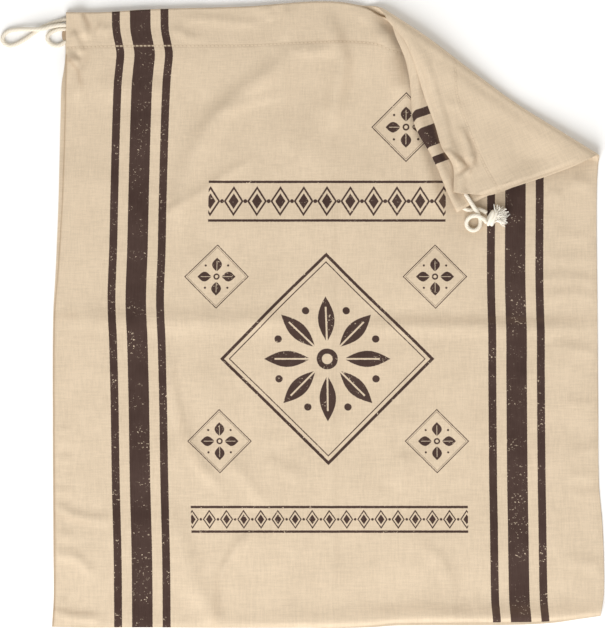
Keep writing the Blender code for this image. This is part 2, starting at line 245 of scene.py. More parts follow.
cotton = {
    "light": (0.688, 0.560, 0.414, 1),
    "dark": (0.578, 0.468, 0.343, 1),
    "shadow": (0.300, 0.190, 0.110, 1),  # painted shade colour: down in a seam, in creases, gaps and stitches
    "ink": (0.0525, 0.0310, 0.0255, 1),
    "faded": (0.0880, 0.0560, 0.0470, 1),
    "threadPitch": 0.00062,
    "slubLength": 0.011,
    "slubWidth": 0.0009,
    "slubNoise": (3.0, 0.6),  # detail and roughness
    "cloudNoise": (30.0, 4.0, 0.6),  # scale, detail and roughness
    "grainNoise": (1400.0, 1.0, 0.5),
    "slubShare": 0.28, "cloudShare": 0.26, "grainShare": 0.18,  # of the noises in the colour
    "toneRange": (0.41, 0.59),  # of their sum, from the dark colour to the light one
    "threadHeight": 0.30, "slubHeight": 0.5, "weaveDepth": 0.00009,
    "roughness": 0.90, "grainRoughness": 0.08,
}
stripes = {
    "middle": 0.1374,  # of the wide stripe, from the bag's middle
    "wide": 0.0150,
    "narrow": 0.0058,
    "spacing": 0.0177,  # between the middles of the wide and the narrow stripes
}
wear = {  # of the print
    "wobble": 0.0004,  # of its edges
    "wobbleNoise": (600.0, 2.0),
    "calmNoise": (60.0, 2.0),
    "calm": (0.55, 0.12),  # limit and soft edge; below it no flecks show
    "fleckNoise": ((560.0, 700.0, 1.0), 2.0, 0.7),
    "whole": (0.650, 0.012),  # the same for the ink between flecks
    "cloudFading": 1.6, "slubFading": 0.8, "unfaded": 0.45,
    "inkHeight": 0.10,
}
stitches = {
    "pitch": 0.0029, "length": 0.0020, "endSoft": 0.0002, "width": 0.00050,
    "groove": 0.0011,
    "grooveSoft": 0.8,  # share of the groove
    "height": 1.4, "grooveDepth": 1.6,
    "colour": (0.645, 0.525, 0.385, 1),
    "cover": 0.75,  # how much of the cloth's colour a stitch hides
    # painted shade along the stitches' groove
    "grooveShade": 0.10,
    "printedHoleShade": 0.22, "plainHoleShade": 0.06,  # how dark the painted shade is in the holes between two stitches
}
ornament = {
    "line": 0.0009,  # half width of a band's rules
    "topBand": {
        "middle": 0.0830, "half": 0.0850, "period": 0.0170, "width": 0.0072, "height": 0.0110,
    },
    "lowBand": {
        "middle": -0.1490, "half": 0.1000, "period": 0.0125, "width": 0.0048, "height": 0.0070,
    },
    "rosette": {"across": 0.0, "up": -0.0320, "size": 0.0760, "petals": 8},
    "cornerRosette": {  # across and up are from the big rosette's middle
        "across": 0.0790, "up": 0.0600, "size": 0.0230, "petals": 4,
    },
    "sideRosette": {"across": 0.0575, "up": 0.1370, "size": 0.0250, "petals": 4},
}
bandShape = {"solid": 0.52, "hollow": 0.78, "soft": 0.03, "dot": 0.2, "rule": 1.28}  # shares
rosetteShape = {  # shares of a rosette's size
    "petalStart": 0.16, "petalEnd": 0.60,
    "petalWidth": 0.62,  # the half widths of all petals together
    "veinEnd": 0.50, "veinWidth": 0.008, "dotPlace": 0.50, "dot": 0.035,
    "heart": 0.10, "heartHole": 0.05,
    "outerLine": 0.020, "innerFrame": 0.93, "innerLine": 0.007,
}


def bandMask(across, up, spec):  # a straight row of lozenges with dots between them
    soft, dotSize = bandShape["soft"], spec["width"] * bandShape["dot"]
    rise = abs(up - spec["middle"])
    half = spec["period"] / 2
    step = across.sum("PINGPONG", across + spec["half"], half)
    lozenge = step / spec["width"] + rise / spec["height"]
    solid = lozenge.under(bandShape["solid"], soft)
    ring = lozenge.under(1.0, soft) * (1 - lozenge.under(bandShape["hollow"], soft))
    apart = half - step
    dot = across.sum("SQRT", apart * apart + rise * rise).under(dotSize)
    rule = abs(rise - spec["height"] * bandShape["rule"]).under(ornament["line"])
    return (solid | ring | dot | rule) * abs(across).under(spec["half"] + dotSize)


def rosetteMask(x, y, spec):  # petals round a middle, in a frame that stands on its corner
    shape = {name: share * spec["size"] for name, share in rosetteShape.items()}
    x, y = x - spec["across"], y - spec["up"]
    turn = pi / spec["petals"]
    reach = x.sum("SQRT", x * x + y * y)
    angle = x.sum("PINGPONG", x.sum("ARCTAN2", y, x), turn)
    outward, aside = reach * x.sum("COSINE", angle), reach * x.sum("SINE", angle)
    start, end = shape["petalStart"], shape["petalEnd"]
    swell = x.sum("SINE", (outward - start) * (pi / (end - start)))
    swell = swell * (shape["petalWidth"] / spec["petals"])
    petal = (aside - swell).under(0.0) * outward.under(end) * (1 - outward.under(start))
    vein = 1 - aside.under(shape["veinWidth"]) * outward.under(shape["veinEnd"])
    gap = turn - angle
    dotX = reach * x.sum("COSINE", gap) - shape["dotPlace"]
    dotY = reach * x.sum("SINE", gap)
    dot = x.sum("SQRT", dotX * dotX + dotY * dotY).under(shape["dot"])
    heart = reach.under(shape["heart"]) * (1 - reach.under(shape["heartHole"]))
    lozenge = abs(x) + abs(y)
    outer = abs(lozenge - spec["size"]).under(shape["outerLine"])
    inner = abs(lozenge - shape["innerFrame"]).under(shape["innerLine"])
    return petal * vein | dot | heart | outer | inner


def ornamentMask(x, y):
    main, corner = ornament["rosette"], ornament["cornerRosette"]
    mask = bandMask(x, y, ornament["topBand"]) | bandMask(x, y, ornament["lowBand"])
    mask = mask | rosetteMask(x, y, main) | rosetteMask(x, y, ornament["sideRosette"])
    return mask | rosetteMask(abs(x - main["across"]), abs(y - main["up"]), corner)


def inkMask(flat, across, up):
    wobble = (flat.noise(*wear["wobbleNoise"]) - 0.5) * wear["wobble"]
    side = abs(across + wobble) - stripes["middle"]
    wide = abs(side).under(stripes["wide"] / 2)
    narrow = abs(abs(side) - stripes["spacing"]).under(stripes["narrow"] / 2)
    ink = wide | narrow | ornamentMask(across + wobble, up + wobble)
    calm = flat.noise(*wear["calmNoise"]).under(*wear["calm"])
    whole = flat.noise(*wear["fleckNoise"]).under(*wear["whole"])
    return ink * (1 - (1 - whole) * (1 - calm))


def cottonMaterial(name, spec, printed):
    material, shader, flat = startMaterial(name, "flatCloth")
    parts = flat.node("SeparateXYZ", None, {"Vector": flat})
    across, up, toStitch = parts.pick("X"), parts.pick("Y"), parts.pick("Z")
    # painted shade in seams, creases, gaps and the casing's end, mixed toward the shadow colour
    shadeMask = flat.node("Attribute", {"attribute_name": "paintedShade"}).pick("Fac")
    long, thin = 1 / spec["slubLength"], 1 / spec["slubWidth"]
    weft = flat.noise((long, thin, 1.0), *spec["slubNoise"])
    warp = flat.noise((thin, long, 1.0), *spec["slubNoise"])
    cloudy = flat.noise(*spec["cloudNoise"])
    grain = flat.noise(*spec["grainNoise"])
    turn = 2 * pi / spec["threadPitch"]
    threads = flat.sum("SINE", across * turn) * flat.sum("SINE", up * turn)
    tone = spec["slubShare"] * weft + spec["slubShare"] * warp
    tone = tone + spec["cloudShare"] * cloudy + spec["grainShare"] * grain
    low, high = spec["toneRange"]
    shade = tone.node("MapRange", None, {"Value": tone, "From Min": low, "From Max": high})
    colour = shade.blend(spec["dark"], spec["light"])
    height = 0.5 + spec["threadHeight"] * threads + spec["slubHeight"] * (weft + warp - 1.0)
    roughness = spec["roughness"] + spec["grainRoughness"] * grain
    if printed:
        ink = inkMask(flat, across, up)
        fading = wear["cloudFading"] * cloudy + wear["slubFading"] * (warp - 0.5)
        inkTone = (fading - wear["unfaded"]).blend(spec["ink"], spec["faded"])
        colour = ink.blend(colour, inkTone)
        height = height + wear["inkHeight"] * ink
    groove = abs(toStitch).under(stitches["groove"], stitches["groove"] * stitches["grooveSoft"])
    line = abs(toStitch).under(stitches["width"])
    dash = across.sum("PINGPONG", across, stitches["pitch"] / 2)
    dash = dash.under(stitches["length"] / 2, stitches["endSoft"])
    holeShade = stitches["printedHoleShade" if printed else "plainHoleShade"]
    # painted shade in the stitches' groove and in the holes between stitches
    colour = (stitches["grooveShade"] * groove).blend(colour, spec["shadow"])
    colour = (holeShade * line * (1 - dash)).blend(colour, spec["shadow"])
    colour = (stitches["cover"] * line * dash).blend(colour, stitches["colour"])
    height = height + stitches["height"] * line * dash - stitches["grooveDepth"] * groove
    colour = shadeMask.blend(colour, spec["shadow"])
    finishMaterial(shader, colour, roughness, height, spec["weaveDepth"])
    return material


cordCotton = {
    "light": (0.90, 0.845, 0.74, 1),
    "dark": (0.60, 0.52, 0.40, 1),
    "fibre": 0.00030,
    "fibreScale": 260.0,  # along the cord
    "fibreNoise": (3.0, 0.6),
    "fluffNoise": (900.0, 2.0),
    # painted shade: the first share darkens the grooves between strands
    "strandShadeShare": 0.40, "fibreShare": 0.5, "fluffShare": 0.3,
    "roughness": 0.9, "fluffRoughness": 0.06,
    "depth": 0.00010,
}
# painted light: the tuft's light colour is lighter, against the shade between its strands
frayedLitColours = {**cordCotton, "light": (0.98, 0.94, 0.86, 1)}
paintedLight = {"loops": 0.32, "ends": 0.45, "knot": 0.95}  # painted light: the same cord lighter or darker piece by piece, as a share of the light colour before the strands' own shading


def cordMaterial(name, spec, bright):
    material, shader, fibre = startMaterial(name, "alongCord")
    parts = fibre.node("SeparateXYZ", None, {"Vector": fibre})
    crown = parts.pick("Z")  # 0 in the groove between strands, 1 on a strand's crown; painted shade in the grooves
    slant = fibre.noise((1 / spec["fibre"], spec["fibreScale"], 1.0), *spec["fibreNoise"])
    fluff = fibre.noise(*spec["fluffNoise"])
    tone = bright + spec["strandShadeShare"] * crown + spec["fibreShare"] * (slant - 0.5)
    tone = tone + spec["fluffShare"] * (fluff - 0.5)
    roughness = spec["roughness"] + spec["fluffRoughness"] * fluff
    height = 0.5 * slant + 0.5 * fluff
    colour = tone.blend(spec["dark"], spec["light"])
    finishMaterial(shader, colour, roughness, height, spec["depth"])
    return material


printedCotton = cottonMaterial("printedCotton", cotton, True)
plainCotton = cottonMaterial("plainCotton", cotton, False)
# copies of one cord material, each with painted light of its own
twistedCotton = cordMaterial("twistedCotton", cordCotton, paintedLight["loops"])
endCotton = cordMaterial("endCotton", cordCotton, paintedLight["ends"])
knottedCotton = cordMaterial("knottedCotton", cordCotton, paintedLight["knot"])
frayedCotton = cordMaterial("frayedCotton", frayedLitColours, paintedLight["knot"])
print("materials made")

cord = {
    "diameter": 0.0031,
    "strands": 4,
    "twist": 0.0100,  # length of one full turn
    "groove": 0.09,  # how deep the strands' grooves are, as a share of the radius
    "grooveShape": 1.6,
    "fibreLean": 0.9,
    "sides": 20,
    "step": 0.00045,
    "nip": 0.0030,  # an end inside the casing is pressed thin over this length
    "nipShare": 0.30,  # how thick it still is at the very end
}
# out of the back casing at the left, under itself and back into the front casing
loopRoute = millimetres(
    (-188.6, 216.2, 2), (-190.5, 215.8, 1.8), (-192.4, 215.4, 1.7), (-196.5, 214.2, 1.6),
    (-202.2, 212.5, 1.6), (-207.6, 210.4, 1.6), (-211.8, 207.7, 1.6), (-217.1, 204, 1.6),
    (-222.7, 200.2, 1.6), (-228.3, 197.3, 1.6), (-232.5, 196.5, 1.6), (-236.1, 198.2, 1.6),
    (-237.4, 201.2, 1.6), (-236.3, 204.6, 1.6), (-233.1, 207, 1.6), (-228.3, 208.1, 1.8),
    (-220.8, 208.4, 3.1), (-213.4, 208.2, 4.7), (-207.8, 208.7, 5), (-202.2, 210.1, 4.8),
    (-196.6, 211.2, 4.4), (-193, 211.4, 4), (-191, 211.5, 3.6), (-188.8, 211.7, 3.4),
)
smallLoopRoute = millimetres(
    (-188.8, 209, 1.8), (-190.6, 208.8, 1.7), (-192.4, 208.6, 1.6), (-195.5, 208.6, 1.6),
    (-198.7, 207.8, 1.6), (-202.2, 206, 1.6), (-204.4, 203.2, 1.6), (-204.2, 200.1, 1.6),
    (-201.8, 197.5, 1.6), (-198.8, 196.5, 1.6), (-195.6, 196.9, 1.6), (-192.8, 198.7, 1.6),
    (-190.8, 199.7, 1.7), (-188.8, 200.3, 1.8),
)
# out of the back casing at the right, through its small loop and into the knot
backEndRoute = millimetres(
    (99, 90, 7.8), (100.4, 87.7, 8.1), (102, 85.1, 8.4), (104.3, 81.4, 8.7),
    (106.9, 77.4, 8.5), (108.8, 74.4, 7.4), (110.5, 71.2, 5.8), (111.1, 67.8, 5.2),
    (110.3, 64.4, 5.1), (108, 62.2, 5.1), (104.9, 61.8, 5.1), (102, 63.6, 5.3),
    (100.8, 66.8, 6.2), (101.9, 69.9, 7.5), (104.6, 71.8, 8.8), (108.4, 72.2, 9.4),
    (111.9, 70.6, 8.8), (114.5, 68.8, 8),
)
# out of the front casing, under the other end and into the knot
frontEndRoute = millimetres(
    (94.4, 81.2, 4.6), (96.6, 79.7, 4.7), (99, 78, 5), (102, 76.7, 5.1),
    (105.8, 76.5, 5), (110, 76.8, 5.1), (113.6, 75.5, 5.7), (115.6, 74.2, 6.2),
)


def smoothRoute(route, step, spanPoints=24, fewest=8):  # evenly spaced on a smooth curve
    points = np.array(route, float)
    ends = np.vstack([2 * points[0] - points[1], points, 2 * points[-1] - points[-2]])
    fine = []
    for before, start, end, after in zip(ends, ends[1:], ends[2:], ends[3:]):
        share = np.linspace(0, 1, spanPoints, endpoint=False)[:, None]
        fine.append(0.5 * (2 * start + (end - before) * share
                           + (2 * before - 5 * start + 4 * end - after) * share**2
                           + (3 * start - before - 3 * end + after) * share**3))
    fine = np.vstack(fine + [points[-1:]])
    passed = np.concatenate([[0], np.cumsum(np.linalg.norm(np.diff(fine, axis=0), axis=1))])
    places = np.linspace(0, passed[-1], max(int(passed[-1] / step), fewest) + 1)
    return np.column_stack([np.interp(places, passed, fine[:, i]) for i in range(3)]), places


def writeVectors(mesh, name, *columns):  # three numbers for each point of a mesh
    layer = mesh.attributes.new(name, "FLOAT_VECTOR", "POINT")
    values = np.column_stack([column.ravel() for column in columns])
    layer.data.foreach_set("vector", values.astype(np.float32).ravel())


def twistedTube(name, route, material, nips=(True, True), spec=cord):
    # nips says which ends of the cord are pressed thin
    path, places = smoothRoute(route, spec["step"])
    radius, sides, length = spec["diameter"] / 2, spec["sides"], places[-1]
    ahead = np.gradient(path, axis=0)
    ahead /= np.linalg.norm(ahead, axis=1)[:, None]
    side = np.cross(ahead[0], (0, 0, 1.0))
    points, along = [], []
    for place, spot, forward in zip(places, path, ahead):
        side = side - forward * side.dot(forward)
        side /= np.linalg.norm(side)
        above = np.cross(side, forward)
        thin = 1.0
        for nipped, gone in zip(nips, (place, length - place)):
            if nipped:
                thin *= mix(spec["nipShare"], 1.0, float(ease(gone / spec["nip"])))
        for i in range(sides):
            angle = 2 * pi * i / sides
            lobe = abs(cos(spec["strands"] / 2 * (angle - 2 * pi * place / spec["twist"])))
            out = radius * (1 - spec["groove"] * (1 - lobe) ** spec["grooveShape"]) * thin
            points.append(spot + out * (cos(angle) * side + sin(angle) * above))
            # the third value gives the strand's crown painted light and its groove painted shade
            along.append((angle * radius - place * spec["fibreLean"], place, lobe))
    rings = len(places)
    faces = []
    for ring in range(rings - 1):
        for i in range(sides):
            a, b = ring * sides + i, ring * sides + (i + 1) % sides
            faces.append((a, b, b + sides, a + sides))
    faces.append(tuple(range(sides))[::-1])
    faces.append(tuple((rings - 1) * sides + i for i in range(sides)))
    mesh = bpy.data.meshes.new(name)
    mesh.from_pydata([tuple(p) for p in points], [], faces)
    writeVectors(mesh, "alongCord", *np.array(along).T)
    flip = bmesh.new()
    flip.from_mesh(mesh)
    bmesh.ops.recalc_face_normals(flip, faces=flip.faces)
    flip.to_mesh(mesh)
    flip.free()
    mesh.shade_smooth()
    return newObject(name, mesh, material), [tuple(p) for p in path], float(length)


loop, loopPath, loopLength = twistedTube("loopCord", loopRoute, twistedCotton)
smallLoop, smallPath, smallLength = twistedTube("smallLoopCord", smallLoopRoute, twistedCotton)
backEnd, backPath, backLength = twistedTube(
    "backEndCord", backEndRoute, endCotton, (True, False))
frontEnd, _, frontLength = twistedTube(
    "frontEndCord", frontEndRoute, endCotton, (True, False))

knot = {
    "centre": (0.1196, 0.0706, 0.0073),
    "turns": 2.5,
    "wide": 0.0060,  # along the knot, first turn to last
    "tall": 0.0051,
    "deep": 0.0022,
    "lean": radians(-14),
    "skew": 0.0011,
    "taper": 0.24,  # how much smaller the outer turns are
    "points": 44,
    "cord": {**cord, "diameter": 0.0028, "groove": 0.16, "twist": 0.0080},
}


def knotRoute(spec):  # turns side by side round the knot's axis
    place = Matrix.Translation(spec["centre"]) @ Matrix.Rotation(spec["lean"], 4, "Z")
    route = []
    for i in range(spec["points"] + 1):
        share = i / spec["points"]
        angle = 2 * pi * spec["turns"] * share + pi  # starts at the lower side
        bulge = 1 - spec["taper"] * (2 * share - 1) ** 2
        across = spec["wide"] * (share - 0.5) + spec["skew"] * cos(angle)
        route.append(tuple(place @ Vector((
            across, spec["tall"] * bulge * cos(angle), spec["deep"] * bulge * sin(angle)))))
    return route


knotTurns = twistedTube(
    "knotTurns", knotRoute(knot), knottedCotton, (False, False), knot["cord"])[0]

tuft = {
    "root": (0.1232, 0.0700, 0.0072),
    "rootHalf": (0.0014, 0.0036, 0.0022),
    "clumps": (  # heading across the table, rise, length, spread, share of the strands
        (radians(58), 0.10, 0.0085, 0.30, 0.26),
        (radians(8), 0.16, 0.0092, 0.34, 0.34),
        (radians(-32), 0.05, 0.0078, 0.34, 0.24),
        (radians(10), 0.50, 0.0062, 0.80, 0.16),
    ),
    "seed": 11,
    "strands": 170,
    "stray": 0.6,
    "clumpShift": 0.4,  # share of the root's half width
    "lengths": (0.45, 1.0),  # shares of the clump's length
    "curls": (0.10, 0.60),
    "wave": 0.10, "waveTurn": 5.0,
    "width": 0.00096,
    "taper": 0.55,
    "sides": 3,
    "steps": 6,
    "apart": 0.0031,  # from strand to strand in the fibres' pattern
    # painted shade: the tuft's strands are darker at the root
    "rootShade": 0.7,
    "reach": 0.1335,  # no strand goes further right
    "floor": 0.0038,
}


def makeTuft(name, spec):  # frayed ends: curling strands in loose clumps out of the knot
    chance = np.random.default_rng(spec["seed"])
    mesh = bmesh.new()
    layer = mesh.verts.layers.float_vector.new("alongCord")
    root, sides = Vector(spec["root"]), spec["sides"]
    for turn, rise, reach, spread, share in spec["clumps"]:
        middle = Vector((cos(turn) * cos(rise), sin(turn) * cos(rise), sin(rise)))
        sideways = Vector((-sin(turn), cos(turn), 0))
        base = root + sideways * spec["rootHalf"][1] * spec["clumpShift"]
        for number in range(int(spec["strands"] * share)):
            drift = Vector(chance.normal(0, spread, 3))
            heading = (middle + drift * spec["stray"]).normalized()
            bend = Vector(chance.normal(0, 1, 3))
            bend = (bend - heading * bend.dot(heading)).normalized()
            across = heading.cross(bend).normalized()
            length = reach * chance.uniform(*spec["lengths"])
            curl = chance.uniform(*spec["curls"]) * length
            start = base + Vector([half * chance.uniform(-1, 1) for half in spec["rootHalf"]])
            rings = []
            for step in range(spec["steps"] + 1):
                gone = step / spec["steps"]
                spot = start + heading * length * gone + bend * curl * gone**2
                spot += across * (spec["wave"] * length * sin(spec["waveTurn"] * gone + number))
                spot.x = min(spot.x, spec["reach"])
                spot.z = max(spot.z, spec["floor"])
                radius = spec["width"] / 2 * (1 - spec["taper"] * gone**2)
                # painted shade, darkest where the strands leave the knot
                crown = mix(spec["rootShade"], 1.0, gone)
                ring = []
                for corner in range(sides):
                    angle = 2 * pi * corner / sides
                    vertex = mesh.verts.new(
                        spot + radius * (cos(angle) * bend + sin(angle) * across))
                    vertex[layer] = Vector((spec["apart"] * number, length * gone, crown))
                    ring.append(vertex)
                rings.append(ring)
            for lower, upper in zip(rings, rings[1:]):
                for i in range(sides):
                    j = (i + 1) % sides
                    mesh.faces.new((lower[i], lower[j], upper[j], upper[i]))
            mesh.faces.new(rings[0][::-1])
            mesh.faces.new(rings[-1])
    bmesh.ops.recalc_face_normals(mesh, faces=mesh.faces)
    data = bpy.data.meshes.new(name)
    mesh.to_mesh(data)
    mesh.free()
    data.shade_smooth()
    return newObject(name, data, frayedCotton)


frayedTuft = makeTuft("frayedTuft", tuft)

cordNodes = (
    (loop, "drawstring_loop"), (smallLoop, "drawstring_small_loop"),
    (backEnd, "drawstring_back_end"), (frontEnd, "drawstring_front_end"),
    (knotTurns, "drawstring_knot"), (frayedTuft, "drawstring_tuft"),
)
for piece, node in cordNodes:
    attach(piece, "root")
    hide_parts(node)
print(f"cords made: {loopLength:.4f}, {smallLength:.4f}, {backLength:.4f} and {frontLength:.4f} m")

bag = {
    "width": 0.403,
    "height": 0.457,
    "layer": 0.0014,  # from one cloth layer's middle to the next
    "backLevel": 0.00055,
    "cloth": 0.0007,
    "casing": 0.027,
    "casingRise": 0.045,
    "foldScale": 1.4,  # of the heights in softFolds
    "foldFade": 0.014,  # where they fade out beside the folded corner's line
    "edgeFade": 0.012,  # and along the edges, where edgeStart of them is left
    "edgeStart": 0.3,
    "crown": 0.0010,
    "crownReach": 0.045,
    "seamDrop": 0.00060,  # how far the front's sewn edge comes down to the back
    "seamReach": 0.0030,
    "cell": 0.0026,
    "fineCell": 0.00128,
    "fineReach": 0.055,  # how far in the mesh is fine from the right side and the mouth
    "fineLeft": 0.032,  # and from the left side
    "edgeSteps": (0.0, 0.0006, 0.0013, 0.0022, 0.0034, 0.0050),  # rows beside the sewn edges
    "hemSteps": 6,  # rows round the hem's turned edge
    "hemFiner": 1.5,  # how much closer the hem's own rows lie
    "stripeReach": 0.1,  # the left stripes' bends turn into the right ones' within this
    "smoothAngle": radians(55),
}
fold = {
    "start": (0.0351, 0.2199),
    "angle": radians(-34.35),
    "relax": 0.030,  # past the bend, the corner sinks onto the front over this
    "hemSettle": 0.008,
    "gap": 0.0004,  # between the corner and the cloth under it
    "air": 0.0012,  # and what comes on top of it at the reach
    "reach": 0.060,
    "loose": 0.0007,  # how far the corner's top layer stands off
    "liftReach": 0.015,
    "rows": 16,  # rows of mesh round the bend
    "depth": 0.0200,  # length of cloth that they cover
    "weld": 0.0002,
}
# length along the fold, radius
foldRadii = millimetres((0, 5.4), (40, 6.3), (80, 4.5), (120, 3.2), (160, 4.7), (190, 6))
clothDepth = 0.0011  # the layers lie as far apart as the solids do

backSides = {
    "left": millimetres(
        (-228.5, -201.4), (-205, -200.1), (-170, -200.4), (-80, -200.8), (0, -200.6), (35, -198.8),
        (90, -196.6), (150, -195.2), (175, -194.4), (190, -192.2), (206, -191.7), (209, -193.8),
        (214.6, -193.8), (217.4, -191.3), (228.5, -191.2),
    ),
    "right": millimetres(
        (-228.5, 199), (-214, 201.2), (-192, 201.4), (-160, 200.3), (-128, 197.7), (-70, 197.1),
        (0, 196.6), (80, 196), (112, 197.2), (130, 200.8), (155, 200.2), (180, 197.8), (205, 196),
        (216, 190), (228.5, 183),
    ),
    "bottom": millimetres(
        (-201.4, -227.6), (-170, -228.1), (-40, -227.4), (0, -228.5), (32, -227.8), (50, -226.6),
        (130, -226.2), (162, -224.8), (185, -221.6), (201.4, -219.2),
    ),
    "mouth": millimetres(
        (-191.2, 220.6), (-165, 220.6), (-130, 222.8), (-60, 224.8), (-30, 227.2), (-10, 228.5),
        (10, 228), (26, 225.4), (50, 225.6), (70, 221), (107, 220.2), (131, 219.3), (150, 220.2),
        (165, 216.8), (183, 223),
    ),
}
frontSides = {
    "left": millimetres(
        (-228.5, -201), (-205, -199.7), (-80, -200.3), (0, -199.9), (35, -197.2), (90, -194),
        (175, -191.4), (190, -191.1), (228.5, -190.9),
    ),
    "right": millimetres(
        (-228.5, 198.6), (-214, 200.8), (-192, 201), (-160, 199.9), (-128, 197.3), (0, 196.2),
        (80, 195.6), (112, 196.6), (130, 198.6), (155, 197.6), (180, 195.2), (205, 192.6),
        (216, 194), (228.5, 195.2),
    ),
    "bottom": millimetres(
        (-201, -227.2), (-170, -227.7), (0, -228), (32, -226.6), (50, -224.8), (130, -224),
        (162, -223.4), (185, -221.1), (201, -218.8),
    ),
    "mouth": millimetres(
        (-190.9, 220.2), (-165, 220.2), (-130, 222.4), (-60, 224.3), (-30, 226.6), (-10, 227.9),
        (10, 227.2), (26, 223.8), (42, 216.8), (60, 218), (80, 218.4), (98, 221.2), (121, 226.8),
        (150, 224.8), (195.2, 222.8),
    ),
}
stitchLine = millimetres(  # the casing's stitches: (distance across, height above the middle)
    (-194.2, 194.8), (-152, 196), (-57, 196.6), (-29.9, 198), (11, 199.3), (34.3, 197.8),
    (47, 192.5), (60, 190), (80, 190), (98, 192.6), (121, 198), (150, 196.2), (195.2, 194),
)

softFolds = ridges(  # in the front, in millimetres, below 0 in a valley
    # pressed creases
    (3.6, 1.15, 333, 60, 330, 120, 330, 330, 334, 660),
    (7, 1.2, 40, 319, 80, 320, 120, 321, 190, 322, 332, 321),
    (5.5, -0.4, 335, 308, 420, 311, 480, 312, 545, 312, 626, 309),
    (5, 1.1, 335, 326, 420, 327, 480, 328, 545, 329, 626, 328),
    # upper left, below the casing
    (8.5, 2.7, 312, 38, 272, 72, 246, 92, 224, 110, 208, 130, 196, 152, 187, 174, 178, 215,
     170, 260),
    (3.2, 1, 150, 220, 167, 213, 187, 201, 205, 190, 227, 174, 262, 154),
    (3.5, 0.9, 288, 93, 255, 101, 235, 108, 212, 116),
    (3.5, 0.8, 284, 60, 284, 110, 287, 160),
    (9, 1.6, 92, 86, 130, 90, 176, 92),
    (6.5, 2.6, 322, 4, 334, 36, 342, 60, 338, 84, 330, 140),
    (5.5, 1.8, 352, 6, 372, 16, 386, 28, 396, 40),
    (4, 0.8, 288, 50, 310, 52, 336, 50),
    (4, 0.8, 318, 95, 309, 130, 301, 165),
    # casing
    (4, 0.9, 176, 18, 218, 21, 270, 26),
    (3.2, 0.9, 170, 27, 182, 35, 202, 42),
    (3.4, 1, 290, 4, 288, 24, 284, 44),
    (3, 0.9, 266, 6, 272, 22),
    (3.5, 2.5, 76, 2, 81, 20, 88, 42),
    (3, 1.6, 72, 30, 83, 58),
    (4, 1.1, 96, 27, 112, 33),
    (3.2, 1.2, 58, 68, 70, 58, 84, 63),
    (3.2, 1.5, 68, 52, 80, 70, 78, 104),
    # lower left
    (3.4, 1.6, 167, 340, 172, 390, 180, 420, 189, 443, 199, 463, 212, 480, 232, 500),
    (4.5, 1.1, 229, 455, 251, 486, 269, 510),
    (8, 2, 172, 500, 182, 548, 194, 583, 208, 607, 222, 645),
    (3, 1.7, 216, 650, 215, 606, 217, 588, 224, 568, 241, 541, 260, 526),
    (5, 0.8, 262, 457, 285, 470, 304, 481),
    (3.4, 1.2, 46, 500, 72, 515, 90, 519, 116, 521),
    (3, 0.8, 44, 534, 78, 536),
    (3.4, 1.1, 44, 554, 74, 556, 98, 577),
    (2.8, 0.8, 46, 601, 70, 603),
    (2.8, 1.3, 44, 608, 72, 617, 106, 619),
    (3, 0.5, 46, 430, 75, 431),
    (3, 0.5, 46, 441, 74, 441),
    (3, 0.6, 46, 459, 76, 459),
    (3, 0.6, 46, 491, 76, 492),
    # lower right
    (4, 1, 420, 538, 440, 560, 449, 580, 452, 600, 448, 640),
    (7, 1, 408, 450, 402, 470, 394, 490),
    (3.5, 0.5, 558, 404, 612, 404),
    (3.5, 0.5, 564, 452, 612, 447),
    (3.2, 0.7, 564, 477, 612, 475),
    (3.2, 0.6, 566, 493, 612, 495),
    (5, 0.6, 556, 560, 614, 567),
    (5, 0.9, 548, 346, 614, 354),
    # upper right, below the flap
    (3.5, 0.5, 552, 236, 610, 239),
    (4, 0.5, 540, 257, 610, 263),
    (4, 0.8, 530, 282, 560, 277, 610, 284),
    (3.6, 0.7, 540, 298, 575, 293, 610, 302),
    (4, 0.6, 548, 190, 562, 200),
    (4, 0.8, 570, 180, 598, 188),
    # beside the flap's rolled edge
    (7, 3, 376, 18, 388, 46, 397, 76, 405, 108),
    (6, 2, 402, 100, 418, 148, 433, 188, 446, 224),
)
flapFolds = ridges(  # in the back panel, where it lies on top of the flap
    (2.1, 2.4, 443, 149, 451, 156, 460, 167),
    (1.9, -1.6, 453, 150, 461, 158, 468, 167, 462, 172, 453, 178),
    (2.1, 2, 474, 152, 471, 165, 464, 178),
    (2.6, 1.9, 459, 124, 466, 144, 471, 166),
    (2.1, -1.2, 466, 130, 474, 150, 478, 170),
    (3.2, 1.2, 443, 103, 460, 107, 471, 124),
    (4, 0.9, 427, 40, 435, 68, 441, 96, 452, 113),
    (11, 1, 481, 56, 478, 122),
    (6, -0.8, 548, 128, 576, 145, 600, 158),
    (10, -0.8, 487, 164, 527, 152, 575, 152),
)
creaseShades = ridges(  # painted shade, darker and warmer down in the creases, its strength in thousandths
    (1.5, 330, 81, 11, 86, 20, 91, 31),
    (1.4, 330, 65, 55, 71, 62, 79, 71, 81, 90),
    (1.4, 180, 66, 66, 72, 58, 82, 60),
    (2.6, 120, 86, 46, 88, 56, 84, 66),
    (2.4, 90, 345, 319, 420, 319, 480, 320, 545, 320, 626, 318),
    (3, 120, 36, 315, 60, 316, 84, 314),
    (4.5, 90, 340, 608, 420, 609, 520, 610, 640, 606),
    (4, 100, 331, 16, 341, 38, 349, 60, 347, 84, 341, 108),
    (1.6, 110, 292, 43, 320, 42, 352, 42, 382, 45),
    (3.4, 260, 366, 10, 384, 18, 392, 28, 403, 56, 408, 84),
    (7, 150, 392, 50, 399, 72, 404, 92),
    (2.2, 200, 410, 104, 424, 150, 438, 192, 452, 226),
    (1.8, 110, 176, 400, 184, 434, 196, 462, 210, 482),
    (1.8, 150, 216, 640, 214, 606, 216, 588, 222, 568),
    (1.8, 110, 36, 508, 72, 520, 96, 524),
    (1.8, 130, 36, 604, 72, 612, 100, 614),
)
